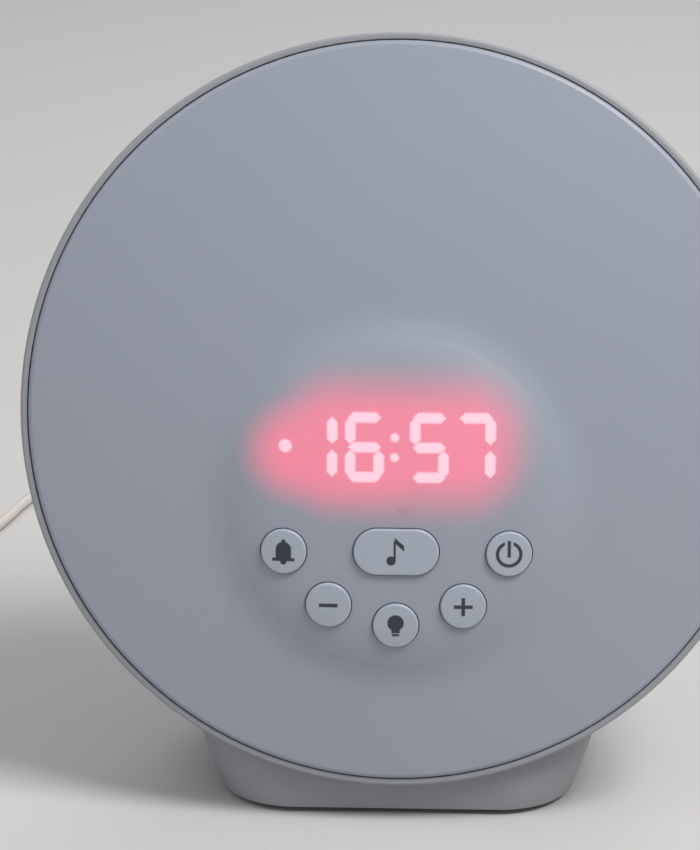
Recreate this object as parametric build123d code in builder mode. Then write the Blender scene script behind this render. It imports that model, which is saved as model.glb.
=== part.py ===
from build123d import *
from math import acos, asin, cos, degrees, pi, radians, sin, sqrt, tan
import os

# A round sunrise alarm clock, in millimetres and degrees. +Z is up and the face looks towards -Y.
# The origin is on the table, under the middle of the clock.

# ---------------------------------------------------------------- driving dimensions
# Round body
face_tilt = 11.0  # how far the face leans back
rim_radius = 85.0
rim_lift = 9.5  # lowest point of the rim above the table
body_depth = 54.0  # from the front of the rim to the flat back
body_round = 38.0  # rounding between the side and the back
rim_wall = 1.6
rim_round = 0.8  # on its outer edge
rim_inner_round = 0.3
housing_wall = 2.4

# Face shell
rim_groove = 0.2  # open groove between the face and the rim
dome_radius = 510.0
dome_apex = 7.5  # crown of the dome in front of the rim
face_wall = 2.0
face_edge_round = 1.2
face_inner_round = 0.5  # least round inside the shell
skirt_depth = 12.0
face_post_radius = 3.4

# Raised control boss on the face
boss_drop = 19.0  # its centre below the face centre
boss_radius = 41.2  # where its sloping side meets the dome
boss_height = 3.5
boss_crown_radius = 300.0
boss_slope = 21.0
boss_shoulder = 37.0
boss_blend = 25.0

# Push buttons
button_ring_radius = 27.2
button_ring_step = 33.5  # angle between neighbours on the ring
button_radius = 5.1
snooze_length = 19.0
snooze_width = 10.5
snooze_drop = 10.3  # its centre below the boss centre
button_gap = 0.22
cap_proud = 0.9
cap_round = 0.45
flange_width = 1.3
flange_gap = 0.15
stem_radius = 1.6
stem_length = 0.8
button_travel = 0.8

# Display and controls behind the boss
display_front = 1.1  # how far the display's front lies behind the boss's origin
display_depth = 8.6
display_width = 51.0
display_height = 18.0
display_rise = 13.1  # its centre above the boss centre
digit_height = 15.5
digit_width = 8.6
digit_pitch = 10.3
hour_minute_pitch = 14.3
segment_width = 2.3
segment_gap = 0.35
segment_depth = 3.0
colon_spacing = 4.4
colon_dot = 1.1
indicator_reach = 24.2
control_board_radius = 38.0
board_thickness = 1.6
switch_size = 6.0
switch_body = 3.5
switch_height = 5.0
plunger_radius = 1.75
plunger_clearance = 0.05  # left between stem and plunger at full travel
tray_radius = 40.3
tray_wall = 1.5
tray_room = 4.0  # behind the control board
tray_gap = 0.3
control_post_radius = 2.6
control_screw_side = 33.2
control_screw_top = 12.5
control_screw_low = 4.7
control_screw_high = 31.0
control_plug_drop = 12.0  # cable plug below the boss centre
plug_proud = 2.0

# Reflector and lamp
reflector_sheet = 1.5
reflector_flange = rim_radius - 14.0
reflector_throat = rim_radius - 23.0
reflector_lip = rim_radius - 27.0
reflector_depth = 15.0
lamp_board_gap = 0.4
spreader_radius = rim_radius - 22.0
spreader_thickness = 1.5
led_size = 3.5
led_height = 0.8
lamp_ring_radius = 0.61 * rim_radius
lamp_led_count = 24
sunrise_ring_radius = 0.53 * rim_radius
sunrise_led_count = 16
lamp_screw_radius = 0.45 * rim_radius
lamp_post_radius = 3.4
cable_window = 4.0
lamp_plug_drop = 0.47 * rim_radius
lamp_plug_side = 16.0

# Housing fixings
ledge_depth = 3.0
ledge_width = 3.6
housing_screw_ring = rim_radius - 8.0
housing_screw_angles = (40.0, 140.0, 205.0, 335.0)
tower_radius = 4.4
screw_seat_depth = 24.0

# Speaker, grille and vents
speaker_rise = 14.0
speaker_size = 40.0
speaker_flange = 1.2
speaker_corner = 3.0
speaker_hole_pitch = speaker_size - 6.0
speaker_opening = speaker_size / 2 - 2.5
speaker_tab = 5.0
speaker_tab_side = 0.3 * speaker_size
speaker_gasket_thickness = 1.0
speaker_post_radius = 2.6
speaker_bite = 2.4
basket_depth = 7.4
basket_sheet = 0.8
cone_sheet = 0.5
cone_depth = 5.0
dust_cap_radius = 5.0
magnet_radius = 13.0
magnet_depth = 7.0
grille_hole = 1.0
grille_pitch = 4.4
grille_rings = 3
vent_rise = rim_radius - 25.0
vent_count = 9
vent_pitch = 5.2
vent_width = 1.8
vent_length = 12.0

# Foot, its base plate and its pads
pad_height = 1.5
pad_radius = 6.0
pad_recess = 0.8
pad_inset = 12.0
pad_round = 0.4
foot_front = -11.2  # front of the foot, from the face centre
foot_back = 60.0
foot_half_width = 41.5
foot_corner = 18.0
base_thickness = 3.0
base_gap = 0.3
column_inset = 6.0
column_front = 14.0
column_back = 38.0
column_radius = 3.8
column_height = 14.0
column_rib = 1.6
base_vent_count = 5
base_vent_pitch = 4.0
base_vent_length = 14.0
base_vent_side = -20.0

# Electronics in the foot
main_board_width = 54.0
main_board_front = 6.0
main_board_back = 50.0
main_board_lift = 6.0  # above the base plate
board_post_radius = 2.8
board_post_inset = 4.0
socket_side = -14.0
socket_width = 9.0
socket_depth = 14.0
socket_height = 11.0
socket_axis_height = 6.5
socket_bore = 2.8
socket_bore_depth = 11.0
socket_nose = 4.0
socket_pin_radius = 0.9
socket_pocket = 7.2
socket_pocket_depth = 3.0
socket_block = 16.0
cell_side = 6.0
cell_place = 26.0  # behind the face centre
cell_radius = 10.0
cell_thickness = 3.2
cell_recess = 0.6
holder_size = 22.0
holder_height = 5.4
hatch_lap = 1.8
hatch_land = 6.5
hatch_thickness = 2.2
hatch_boss_height = 5.0
hatch_gap = 0.25
plug_block = (8.0, 5.0, 6.0)
plug_row = 22.0
plug_pitch = 16.0
cable_radius = 1.1
cable_rise = 15.0  # how far the cables stand up before they turn
cable_bow = 17.0  # how far the control cable bows out behind the heat spreader
cable_dip = 16.0  # and how far below its passage it does so
speaker_cable_dip = 26.0
processor_size = 9.0
processor_height = 1.2
inductor_size = 8.0
inductor_height = 4.0
processor_side = 15.0
processor_place = 12.0
inductor_side = 0.0
inductor_place = 35.0
capacitor_side = 15.0
capacitor_place = 34.0
capacitor_pitch = 10.0
capacitor_radius = 4.0
capacitor_height = 11.0

# Screws
screw_shank = 1.25
screw_head = 2.4
screw_head_height = 1.4
screw_head_round = 0.5
screw_pocket = 1.5
screw_slot = 0.7
screw_slot_depth = 0.7
screw_gap = 0.3
thread_gap = 0.05
screw_bite = 6.0

# Power lead
cord_diameter = 3.0
barrel_radius = 2.7
barrel_length = 9.5
barrel_bore = 1.1
plug_radius = 5.2
plug_length = 20.0
plug_round = 1.2
relief_length = 18.0
relief_radius = 3.4
relief_tip = 2.1
coil_x = -152.0
coil_y = 100.0
coil_radius = 17.5
coil_width = 9.4
coil_height = 9.0
coil_round = 2.5
coil_lift = 0.6  # the tie lies under it
tie_thickness = 0.6
tie_arc = 24.0
usb_width = 15.0
usb_x = -169.5
usb_y = 124.0
usb_height = 8.0
usb_length = 22.0
usb_round = 2.0
usb_shell_width = 12.0
usb_shell_height = 4.5
usb_shell_length = 15.0
usb_shell_wall = 0.4

# ---------------------------------------------------------------- places worked out from them
tilt = radians(face_tilt)
boss_tilt = tilt - asin(boss_drop / dome_radius)
slope = radians(boss_slope)
inner_rim = rim_radius - rim_wall
skirt_radius = inner_rim - rim_groove
dome_centre = dome_apex - dome_radius

# The boss sits square to the dome, so its own frame leans back a little less than the face.
boss_forward = -dome_centre * cos(tilt) - dome_radius * cos(boss_tilt)
boss_up = dome_centre * sin(tilt) + dome_radius * sin(boss_tilt)
ring_crown = boss_height - boss_crown_radius + sqrt(boss_crown_radius**2 - button_ring_radius**2)
front_reach = (
    button_ring_radius * sin(boss_tilt) + (ring_crown + cap_proud) * cos(boss_tilt) - boss_forward
)
back_reach = body_depth * cos(tilt) + (rim_radius - body_round) * sin(tilt)
face_y = (front_reach - back_reach) / 2
face_z = rim_lift + rim_radius * cos(tilt)

face_plane = Plane((0, face_y, face_z), x_dir=(1, 0, 0), z_dir=(0, -cos(tilt), sin(tilt)))
boss_plane = Plane(
    (0, face_y + boss_forward, face_z + boss_up),
    x_dir=(1, 0, 0),
    z_dir=(0, -cos(boss_tilt), sin(boss_tilt)),
)
foot_plane = Plane((0, face_y, pad_height))
face_axis = Axis(face_plane.origin, face_plane.z_dir)
boss_axis = Axis(boss_plane.origin, boss_plane.z_dir)


def turned(plane):
    """The plane through a frame's own axis, for the half section of a turned piece."""
    return Plane(plane.origin, x_dir=plane.x_dir, z_dir=-plane.y_dir)


def facing_back(plane):
    """The same place, looking the other way."""
    return Plane(plane.origin, x_dir=-plane.x_dir, z_dir=-plane.z_dir)


def around(radius, angles):
    """Points at these angles on a circle."""
    return [(radius * cos(radians(a)), radius * sin(radians(a))) for a in angles]


def both_sides(side, *places):
    """Pairs of points, left and right, at each place along Y."""
    return [(x, y) for y in places for x in (-side, side)]


# Depths behind the front of the rim
flange_face = skirt_depth + reflector_sheet
ledge_back = flange_face + ledge_depth
lamp_seat = skirt_depth + reflector_depth + reflector_sheet
lamp_front = lamp_seat - board_thickness
spreader_back = lamp_seat + spreader_thickness
back_inside = body_depth - housing_wall
speaker_back = back_inside - speaker_gasket_thickness
speaker_front = speaker_back - speaker_flange

# Heights behind the boss
board_front = -display_front - display_depth
board_back = board_front - board_thickness
stem_end = board_front + switch_height + button_travel + plunger_clearance
flange_back = stem_end + stem_length
tray_floor = board_back - tray_room
tray_back = tray_floor - tray_wall

# Heights and places in the foot, over the foot's own bottom
board_under = base_thickness + main_board_lift
board_top = board_under + board_thickness
socket_height_in_foot = board_top + socket_axis_height
pocket_floor = foot_back - socket_pocket_depth
socket_face = pocket_floor - housing_wall

button_names = ("alarm", "minus", "light", "plus", "power")
ring_angles = [270 + button_ring_step * (i - 2) for i in range(len(button_names))]
button_sites = dict(zip(button_names, around(button_ring_radius, ring_angles)))
button_sites["snooze"] = (0, -snooze_drop)
housing_sites = around(housing_screw_ring, housing_screw_angles)
lamp_sites = around(lamp_screw_radius, (45, 135, 225, 315))
control_sites = [
    (control_screw_side, -control_screw_low),
    (-control_screw_side, -control_screw_low),
    (control_screw_top, control_screw_high),
    (-control_screw_top, control_screw_high),
]
column_sites = both_sides(foot_half_width - column_inset, column_front, column_back)
pad_sites = both_sides(foot_half_width - pad_inset, foot_front + pad_inset, foot_back - pad_inset)
board_post_sites = both_sides(
    main_board_width / 2 - board_post_inset,
    main_board_front + board_post_inset,
    main_board_back - board_post_inset,
)
opening_size = holder_size + 2 * screw_gap
hatch_length = opening_size + hatch_lap + hatch_land
hatch_centre = cell_place + (hatch_land - hatch_lap) / 2
hatch_screw_place = cell_place + (opening_size + hatch_land) / 2


# ---------------------------------------------------------------- shared forms
def front_form(inset, reach=skirt_depth):
    """The solid behind the front skin, drawn in by inset all over."""
    dome = dome_radius - inset
    crown = boss_crown_radius - inset
    crown_centre = boss_height - boss_crown_radius
    fall = tan(slope)
    # The boss's sloping side is a line that falls from side_top, on the boss's axis.
    foot_height = sqrt(dome_radius**2 - boss_radius**2) - dome_radius
    side_top = foot_height + boss_radius * fall - inset / cos(slope)

    def side_meets(radius, centre):
        """Where the sloping side meets a ball on the boss's axis."""
        rise = side_top - centre
        root = sqrt((rise * fall) ** 2 - (1 + fall**2) * (rise**2 - radius**2))
        return (rise * fall - root) / (1 + fall**2)

    corner = side_meets(crown, crown_centre)
    foot = side_meets(dome, -dome_radius)
    far = rim_radius + boss_drop
    corner_angle, foot_angle, far_angle = acos(corner / crown), acos(foot / dome), acos(far / dome)
    side_length = (foot - corner) / cos(slope)
    shoulder_turn = slope + corner_angle - pi / 2
    foot_turn = slope + foot_angle - pi / 2
    shoulder = min(boss_shoulder, 0.52 * side_length / tan(shoulder_turn / 2)) - inset
    blend = min(boss_blend, 0.42 * side_length / tan(foot_turn / 2)) + inset
    with BuildPart() as form:
        with BuildSketch(turned(boss_plane)) as section:
            with BuildLine():
                CenterArc(
                    (0, crown_centre), crown, degrees(corner_angle), 90 - degrees(corner_angle)
                )
                Line((corner, side_top - corner * fall), (foot, side_top - foot * fall))
                CenterArc(
                    (0, -dome_radius), dome, degrees(far_angle), degrees(foot_angle - far_angle)
                )
                Polyline(
                    (far, dome * sin(far_angle) - dome_radius),
                    (far, -body_depth),
                    (0, -body_depth),
                    (0, crown_centre + crown),
                )
            make_face()
            fillet(section.vertices().sort_by(Axis.Y)[-2], radius=shoulder)
            foot_point = section.vertices().sort_by(lambda v: abs(v.X - foot))[0]
            fillet(foot_point, radius=blend)
        revolve(axis=boss_axis)
        with BuildSketch(face_plane.offset(-reach)):
            Circle(skirt_radius - inset)
        extrude(amount=reach + body_depth, mode=Mode.INTERSECT)
        side = form.faces().filter_by(GeomType.CYLINDER)
        edge_round = max(face_edge_round - inset, face_inner_round)
        fillet(side.edges().group_by(face_axis)[-1], radius=edge_round)
    return form.part


def drum_form(inset, back_inset):
    """The round body behind the rim, drawn in at its side and at its back."""
    with BuildPart() as form:
        with BuildSketch(turned(face_plane)) as section:
            with BuildLine():
                Polyline(
                    (0, 0),
                    (rim_radius - inset, 0),
                    (rim_radius - inset, back_inset - body_depth),
                    (0, back_inset - body_depth),
                    close=True,
                )
            make_face()
            back_corner = section.vertices().group_by(Axis.X)[-1].sort_by(Axis.Y)[0]
            fillet(back_corner, radius=body_round - inset)
        revolve(axis=face_axis)
    return form.part


def foot_form(inset):
    """The foot, which widens upwards into the round body, drawn in all round."""
    # Height over the bottom, then how much wider, deeper set at the front and at the back
    # the section is than at the bottom, and how much rounder its corners are.
    levels = (
        (0.0, 0.0, 0.0, 0.0, 0.0),
        (14.5, 5.1, 0.0, 0.0, 2.0),
        (32.5, 9.5, 6.0, 3.0, 6.0),
        (68.0, 3.0, 21.0, 16.0, -4.0),
    )
    with BuildPart() as form:
        for height, wider, front, back, rounder in levels:
            low, high = foot_front + front + inset, foot_back - back - inset
            with BuildSketch(foot_plane.offset(height)):
                with Locations((0, (low + high) / 2)):
                    RectangleRounded(
                        2 * (foot_half_width + wider - inset),
                        high - low,
                        foot_corner + rounder - inset,
                    )
        loft()
    return form.part


def housing_form(inset):
    """The round body and the foot together."""
    with BuildPart() as form:
        add(drum_form(inset, inset))
        add(foot_form(inset))
    return form.part


def cap_outline(name, grow):
    """Draw a button's outline, grown all round, in the sketch that is open."""
    if name == "snooze":
        SlotOverall(snooze_length + 2 * grow, snooze_width + 2 * grow)
    else:
        Circle(button_radius + grow)


def screw_set(plane, sites, length):
    """Cross-head screws whose heads stand on a plane and whose shanks run back from it."""
    with BuildPart() as screws:
        with BuildSketch(plane):
            with Locations(*sites):
                Circle(screw_head)
        extrude(amount=screw_head_height)
        tops = screws.edges().group_by(Axis(plane.origin, plane.z_dir))[-1]
        fillet(tops, radius=screw_head_round)
        with BuildSketch(plane):
            with Locations(*sites):
                Circle(screw_shank)
        extrude(amount=-length)
        with BuildSketch(plane.offset(screw_head_height)):
            with Locations(*sites):
                Rectangle(1.2 * screw_head, screw_slot)
                Rectangle(screw_slot, 1.2 * screw_head)
        extrude(amount=-screw_slot_depth, mode=Mode.SUBTRACT)
    return screws.part


def cable(points, radius):
    """A round cable along straight runs joined by arcs as large as the runs allow."""
    radii = []
    for before, here, after in zip(points, points[1:], points[2:]):
        incoming, outgoing = Vector(here) - Vector(before), Vector(after) - Vector(here)
        turn = radians(incoming.get_angle(outgoing))
        radii.append(0.45 * min(incoming.length, outgoing.length) / tan(turn / 2))
    with BuildPart() as made:
        with BuildLine():
            run = FilletPolyline(*points, radius=radii)
        with BuildSketch(Plane(run @ 0, z_dir=run % 0)):
            Circle(radius)
        sweep()
    smallest = min(radii)
    print(
        f"cable of {run.length:.1f} mm, smallest arc {smallest:.1f} mm, all",
        [round(r, 1) for r in radii],
        f"volume off by {made.part.volume / (pi * radius**2 * run.length) - 1:.5f}",
    )
    return made.part


os.makedirs("parts", exist_ok=True)

# ---------------------------------------------------------------- face shell
face_outer = front_form(0)
face_inner = front_form(face_wall)

with BuildPart() as face_posts:
    with BuildSketch(boss_plane.offset(board_front)):
        with Locations(*control_sites):
            Circle(control_post_radius)
    extrude(amount=body_depth)
    with BuildSketch(face_plane.offset(-skirt_depth)):
        with Locations(*housing_sites):
            Circle(face_post_radius)
    extrude(amount=body_depth)
    add(front_form(face_wall / 2), mode=Mode.INTERSECT)

with BuildPart() as front_diffuser:
    add(face_outer)
    add(face_inner, mode=Mode.SUBTRACT)
    add(face_posts.part)
    with BuildSketch(boss_plane.offset(board_front)):
        with Locations(*control_sites):
            Circle(screw_shank + thread_gap)
    extrude(amount=screw_bite, mode=Mode.SUBTRACT)
    with BuildSketch(face_plane.offset(-skirt_depth)):
        with Locations(*housing_sites):
            Circle(screw_shank + thread_gap)
    extrude(amount=screw_bite, mode=Mode.SUBTRACT)
    with BuildSketch(boss_plane.offset(flange_back)):
        for name, site in button_sites.items():
            with Locations(site):
                cap_outline(name, button_gap)
    extrude(amount=body_depth, mode=Mode.SUBTRACT)
front_diffuser.part.label = "front_diffuser"
export_step(front_diffuser.part, "parts/front_diffuser.step")

# ---------------------------------------------------------------- push buttons and switches
cap_skin = front_form(-cap_proud)
flange_skin = front_form(face_wall + flange_gap)

for name, site in button_sites.items():
    with BuildPart() as cap:
        with BuildSketch(boss_plane.offset(flange_back)):
            with Locations(site):
                cap_outline(name, 0)
        extrude(amount=body_depth)
        add(cap_skin, mode=Mode.INTERSECT)
        tops = [f for f in cap.faces() if f.normal_at().dot(boss_plane.z_dir) > 0.5]
        sides = [f for f in cap.faces() if abs(f.normal_at().dot(boss_plane.z_dir)) < 0.1]
        side_edges = [e for f in sides for e in f.edges()]
        top_edges = [e for f in tops for e in f.edges() if any(e.is_same(s) for s in side_edges)]
        fillet(top_edges, radius=cap_round)
    with BuildPart() as flange:
        with BuildSketch(boss_plane.offset(flange_back)):
            with Locations(site):
                cap_outline(name, flange_width)
        extrude(amount=body_depth)
        add(flange_skin, mode=Mode.INTERSECT)
    with BuildPart() as button:
        add(cap.part)
        add(flange.part)
        with BuildSketch(boss_plane.offset(flange_back)):
            with Locations(site):
                Circle(stem_radius)
        extrude(amount=stem_end - flange_back)
    button.part.label = f"{name}_button"
    export_step(button.part, f"parts/{name}_button.step")

    with BuildPart() as switch:
        with BuildSketch(boss_plane.offset(board_front)):
            with Locations(site):
                Rectangle(switch_size, switch_size)
        extrude(amount=switch_body)
        with BuildSketch(boss_plane.offset(board_front + switch_body)):
            with Locations(site):
                Circle(plunger_radius)
        extrude(amount=switch_height - switch_body)
    switch.part.label = f"{name}_switch"
    export_step(switch.part, f"parts/{name}_switch.step")

# ---------------------------------------------------------------- display
digit_places = [
    side * (hour_minute_pitch / 2 + step * digit_pitch) for side in (-1, 1) for step in (0, 1)
]


def draw_segments():
    """Draw every light guide of the display, in the sketch that is open, about its centre."""
    half = segment_width / 2
    across = digit_width - segment_width - segment_gap
    upright = (digit_height - segment_width) / 2 - segment_gap
    column = digit_width / 2 - half
    row = (digit_height - segment_width) / 4
    for place in digit_places:
        flat = [(place, -2 * row), (place, 0), (place, 2 * row)]
        tall = [(place + x, y) for x in (-column, column) for y in (-row, row)]
        for sites, length, turn in ((flat, across, 0), (tall, upright, 90)):
            tip = length / 2
            bar = [(-tip, 0), (half - tip, half), (tip - half, half)]
            bar += [(tip, 0), (tip - half, -half), (half - tip, -half)]
            with Locations(*sites):
                Polygon(*bar, rotation=turn)
    with Locations((0, colon_spacing / 2), (0, -colon_spacing / 2)):
        Rectangle(2 * colon_dot, 2 * colon_dot)
    with Locations((-indicator_reach, 0)):
        Rectangle(segment_width, 2 * segment_width)


display_plane = Plane(
    boss_plane.from_local_coords((0, display_rise, -display_front)),
    x_dir=boss_plane.x_dir,
    z_dir=boss_plane.z_dir,
)
with BuildPart() as display_module:
    with BuildSketch(display_plane):
        Rectangle(display_width, display_height)
    extrude(amount=-display_depth)
    with BuildSketch(display_plane):
        draw_segments()
    extrude(amount=-segment_depth, mode=Mode.SUBTRACT)
display_module.part.label = "display_module"
export_step(display_module.part, "parts/display_module.step")

with BuildPart() as display_segments:
    with BuildSketch(display_plane):
        draw_segments()
    extrude(amount=-segment_depth)
display_segments.part.label = "display_segments"
export_step(display_segments.part, "parts/display_segments.step")

# ---------------------------------------------------------------- control board and its tray
with BuildPart() as control_board:
    with BuildSketch(boss_plane.offset(board_back)):
        Circle(control_board_radius)
        with Locations(*control_sites):
            Circle(screw_shank + screw_gap, mode=Mode.SUBTRACT)
    extrude(amount=board_thickness)
control_board.part.label = "control_board"
export_step(control_board.part, "parts/control_board.step")

plug_width, plug_depth, plug_height = plug_block
tray_skin = front_form(face_wall + tray_gap, reach=body_depth)
with BuildPart() as control_tray:
    with BuildSketch(boss_plane.offset(tray_back)):
        Circle(tray_radius)
    extrude(amount=body_depth)
    with BuildSketch(boss_plane.offset(tray_floor)):
        Circle(tray_radius - tray_wall)
    extrude(amount=body_depth, mode=Mode.SUBTRACT)
    with BuildSketch(boss_plane.offset(tray_floor)):
        with Locations(*control_sites):
            Circle(control_post_radius)
    extrude(amount=tray_room)
    add(tray_skin, mode=Mode.INTERSECT)
    with BuildSketch(boss_plane.offset(tray_back)):
        with Locations(*control_sites):
            Circle(screw_shank + screw_gap)
        with Locations((0, -control_plug_drop)):
            Rectangle(plug_width + 2 * screw_gap, plug_depth + 2 * screw_gap)
    extrude(amount=tray_wall + tray_room, mode=Mode.SUBTRACT)
control_tray.part.label = "control_tray"
export_step(control_tray.part, "parts/control_tray.step")

with BuildPart() as control_screws:
    length = board_front + screw_bite - tray_back
    add(screw_set(facing_back(boss_plane.offset(tray_back)), control_sites, length))
control_screws.part.label = "control_screws"
export_step(control_screws.part, "parts/control_screws.step")

# ---------------------------------------------------------------- reflector and lamp
with BuildPart() as reflector:
    with BuildSketch(turned(face_plane)):
        with BuildLine():
            Polyline(
                (skirt_radius, -skirt_depth),
                (reflector_flange, -skirt_depth),
                (reflector_throat, reflector_sheet - lamp_seat),
                (reflector_lip, reflector_sheet - lamp_seat),
                (reflector_lip, -lamp_seat),
                (reflector_throat + reflector_sheet, -lamp_seat),
                (reflector_flange + reflector_sheet, -flange_face),
                (skirt_radius, -flange_face),
                close=True,
            )
        make_face()
    revolve(axis=face_axis)
    with BuildSketch(face_plane.offset(-flange_face)):
        with Locations(*housing_sites):
            Circle(screw_shank + screw_gap)
    extrude(amount=reflector_sheet, mode=Mode.SUBTRACT)
reflector.part.label = "reflector"
export_step(reflector.part, "parts/reflector.step")

# The control cable comes straight back from the plug on the tray, through both plates.
control_plug_back = boss_plane.from_local_coords(
    (0, -control_plug_drop, board_back - tray_room - tray_wall - plug_proud)
)
passage = (0, face_plane.to_local_coords(control_plug_back).Y)
lamp_plug_site = (-lamp_plug_side, -lamp_plug_drop)

with BuildPart() as heat_spreader:
    with BuildSketch(face_plane.offset(-spreader_back)):
        Circle(spreader_radius)
        with Locations(passage):
            Circle(cable_window, mode=Mode.SUBTRACT)
        with Locations(lamp_plug_site):
            Rectangle(
                plug_width + 2 * screw_gap, plug_depth + 2 * screw_gap, mode=Mode.SUBTRACT
            )
        with Locations(*lamp_sites):
            Circle(screw_shank + screw_gap, mode=Mode.SUBTRACT)
    extrude(amount=spreader_thickness)
heat_spreader.part.label = "heat_spreader"
export_step(heat_spreader.part, "parts/heat_spreader.step")

with BuildPart() as lamp_board:
    with BuildSketch(face_plane.offset(-lamp_seat)):
        Circle(reflector_lip - lamp_board_gap)
        with Locations(passage):
            Circle(cable_window, mode=Mode.SUBTRACT)
        with Locations(*lamp_sites):
            Circle(screw_shank + screw_gap, mode=Mode.SUBTRACT)
    extrude(amount=board_thickness)
lamp_board.part.label = "lamp_board"
export_step(lamp_board.part, "parts/lamp_board.step")

with BuildPart() as lamp_leds:
    with BuildSketch(face_plane.offset(-lamp_front)):
        with PolarLocations(lamp_ring_radius, lamp_led_count):
            Rectangle(led_size, led_size)
    extrude(amount=led_height)
lamp_leds.part.label = "lamp_leds"
export_step(lamp_leds.part, "parts/lamp_leds.step")

with BuildPart() as sunrise_leds:
    with BuildSketch(face_plane.offset(-lamp_front)):
        with PolarLocations(sunrise_ring_radius, sunrise_led_count):
            Rectangle(led_size, led_size)
    extrude(amount=led_height)
sunrise_leds.part.label = "sunrise_leds"
export_step(sunrise_leds.part, "parts/sunrise_leds.step")

with BuildPart() as lamp_screws:
    length = board_thickness + spreader_thickness + screw_bite
    add(screw_set(face_plane.offset(-lamp_front), lamp_sites, length))
lamp_screws.part.label = "lamp_screws"
export_step(lamp_screws.part, "parts/lamp_screws.step")

# ---------------------------------------------------------------- housing
speaker_plane = Plane(
    face_plane.from_local_coords((0, speaker_rise, 0)),
    x_dir=face_plane.x_dir,
    z_dir=face_plane.z_dir,
)
socket_plane = Plane(
    (socket_side, face_y + pocket_floor, pad_height + socket_height_in_foot),
    x_dir=(-1, 0, 0),
    z_dir=(0, 1, 0),
)

with BuildPart() as housing_fittings:
    with BuildSketch(face_plane.offset(-flange_face)):
        Circle(rim_radius)
        Circle(inner_rim - ledge_width, mode=Mode.SUBTRACT)
    extrude(amount=-ledge_depth)
    with BuildSketch(face_plane.offset(-flange_face)):
        with Locations(*housing_sites):
            Circle(tower_radius)
    extrude(amount=-body_depth)
    with BuildSketch(face_plane.offset(-spreader_back)):
        with Locations(*lamp_sites):
            Circle(lamp_post_radius)
    extrude(amount=-body_depth)
    with BuildSketch(speaker_plane.offset(-speaker_back)):
        with GridLocations(speaker_hole_pitch, speaker_hole_pitch, 2, 2):
            Circle(speaker_post_radius)
    extrude(amount=-body_depth)
    with BuildSketch(foot_plane.offset(base_thickness)):
        with Locations(*column_sites):
            Circle(column_radius)
            Rectangle(4 * column_inset, column_rib)
        Rectangle(
            2 * (foot_half_width - column_inset), 3 * foot_back, mode=Mode.SUBTRACT
        )
        with Locations(*column_sites):
            Circle(column_radius)
    extrude(amount=column_height)
    with BuildSketch(socket_plane.offset(-housing_wall)):
        Rectangle(socket_block, socket_block)
    extrude(amount=body_depth)
    add(housing_form(housing_wall / 2), mode=Mode.INTERSECT)

with BuildPart() as housing_hollow:
    add(foot_form(housing_wall))
    with BuildSketch(face_plane.offset(-ledge_back)):
        Circle(rim_radius)
    extrude(amount=2 * body_depth, mode=Mode.SUBTRACT)
    add(drum_form(rim_wall, housing_wall))

with BuildPart() as rear_housing:
    add(housing_form(0))
    add(housing_hollow.part, mode=Mode.SUBTRACT)
    rim_edges = rear_housing.edges().group_by(face_axis)[-1].sort_by(SortBy.RADIUS)
    fillet(rim_edges[-1], radius=rim_round)
    rim_edges = rear_housing.edges().group_by(face_axis)[-1].sort_by(SortBy.RADIUS)
    fillet(rim_edges[0], radius=rim_inner_round)
    add(housing_fittings.part)
    with BuildSketch(face_plane.offset(-flange_face)):
        with Locations(*housing_sites):
            Circle(screw_shank + screw_gap)
    extrude(amount=-body_depth, mode=Mode.SUBTRACT)
    with BuildSketch(face_plane.offset(-screw_seat_depth)):
        with Locations(*housing_sites):
            Circle(screw_head + screw_gap)
    extrude(amount=-body_depth, mode=Mode.SUBTRACT)
    with BuildSketch(face_plane.offset(-spreader_back)):
        with Locations(*lamp_sites):
            Circle(screw_shank + thread_gap)
    extrude(amount=-screw_bite, mode=Mode.SUBTRACT)
    with BuildSketch(speaker_plane.offset(-speaker_back)):
        with GridLocations(speaker_hole_pitch, speaker_hole_pitch, 2, 2):
            Circle(screw_shank + thread_gap)
    extrude(amount=-speaker_bite, mode=Mode.SUBTRACT)
    with BuildSketch(foot_plane.offset(base_thickness)):
        with Locations(*column_sites):
            Circle(screw_shank + thread_gap)
    extrude(amount=screw_bite, mode=Mode.SUBTRACT)
    with BuildSketch(speaker_plane.offset(-back_inside)):
        Circle(grille_hole)
        for ring in range(1, grille_rings + 1):
            with PolarLocations(ring * grille_pitch, 6 * ring):
                Circle(grille_hole)
    extrude(amount=-2 * housing_wall, mode=Mode.SUBTRACT)
    with BuildSketch(face_plane.offset(-spreader_back)):
        with Locations((0, vent_rise)):
            with GridLocations(vent_pitch, 0, vent_count, 1):
                SlotOverall(vent_length, vent_width, rotation=90)
    extrude(amount=-body_depth, mode=Mode.SUBTRACT)
    with BuildSketch(socket_plane):
        Circle(socket_pocket)
    extrude(amount=body_depth, mode=Mode.SUBTRACT)
    with BuildSketch(socket_plane):
        Circle(socket_nose + screw_gap)
    extrude(amount=-2 * housing_wall, mode=Mode.SUBTRACT)
rear_housing.part.label = "rear_housing"
export_step(rear_housing.part, "parts/rear_housing.step")

with BuildPart() as housing_screws:
    seat = facing_back(face_plane.offset(-screw_seat_depth))
    add(screw_set(seat, housing_sites, screw_seat_depth - skirt_depth + screw_bite))
housing_screws.part.label = "housing_screws"
export_step(housing_screws.part, "parts/housing_screws.step")

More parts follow.
